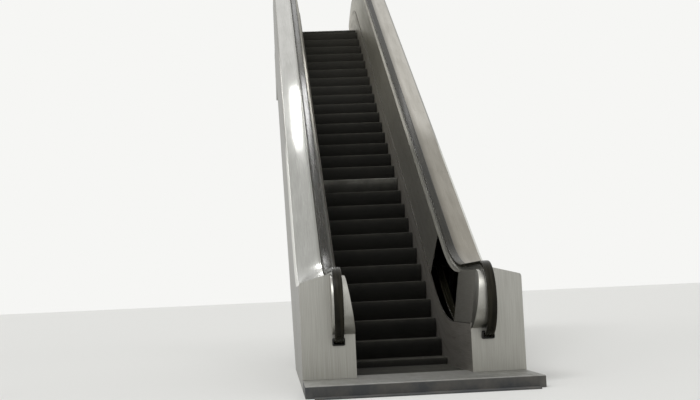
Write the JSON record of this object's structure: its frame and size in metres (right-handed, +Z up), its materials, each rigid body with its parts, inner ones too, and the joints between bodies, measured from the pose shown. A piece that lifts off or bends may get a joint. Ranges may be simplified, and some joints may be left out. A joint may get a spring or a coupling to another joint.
{
  "type": "escalator",
  "caption": "Public escalator with solid stainless balustrades, wide sloping outer decks, black rubber handrails, cleated steps and combs.",
  "frame": {"origin": "centre of the flat underside of the lower support angle, where the lower end bears on the building", "axes": "+X up the flight towards the upper landing, +Y across it to the left hand, +Z up"},
  "size_m": [14.6995, 1.944, 6.66],
  "materials": {
    "handrail_rubber": "satin black rubber, worn dull",
    "step_aluminium": "dark dusty die-cast aluminium",
    "pale_step_aluminium": "pale dusty die-cast aluminium",
    "landing_aluminium": "ribbed aluminium, scuffed",
    "painted_frame": "dark grey primer",
    "inner_stainless": "satin stainless sheet, brushed along the flight",
    "bright_stainless": "brushed stainless sheet, polished by use",
    "satin_stainless": "satin stainless sheet"
  },
  "bodies": {
    "root": {"lower_support": "painted_frame", "upper_support": "painted_frame", "lower_landing_frame": "painted_frame", "upper_landing_frame": "painted_frame", "lower_floor_plates": "landing_aluminium", "upper_floor_plates": "landing_aluminium", "lower_comb_plate": "landing_aluminium", "upper_comb_plate": "landing_aluminium", "lower_combs": "landing_aluminium", "upper_combs": "landing_aluminium", "upper_end_housing": "satin_stainless", "lower_landing_steps": "step_aluminium", "lower_curve_steps": "step_aluminium", "lower_flight_steps": "step_aluminium", "pale_step": "pale_step_aluminium", "middle_flight_steps": "step_aluminium", "upper_flight_steps": "step_aluminium", "upper_curve_steps": "step_aluminium", "upper_landing_steps": "step_aluminium", "step_tracks": "painted_frame", "truss_frames": "painted_frame", "left_skirt": "inner_stainless", "right_skirt": "inner_stainless", "left_newel_panels": "inner_stainless", "right_newel_panels": "inner_stainless", "left_lower_curve_panel": "inner_stainless", "left_flight_panels": "inner_stainless", "right_flight_panels": "inner_stainless", "upper_curve_panels": "inner_stainless", "right_balustrade_posts": "painted_frame", "left_ledge": "bright_stainless", "right_ledge": "bright_stainless", "handrail_guides": "satin_stainless", "left_handrail": "handrail_rubber", "right_handrail": "handrail_rubber", "newel_cores": "satin_stainless", "newel_end_caps": "satin_stainless", "handrail_inlets": "handrail_rubber", "left_deck": "bright_stainless", "right_deck": "bright_stainless", "left_edge_trim": "bright_stainless", "right_edge_trim": "bright_stainless", "left_side_cladding": "satin_stainless", "right_side_cladding": "satin_stainless", "soffit": "satin_stainless"}
  },
  "joints": []
}
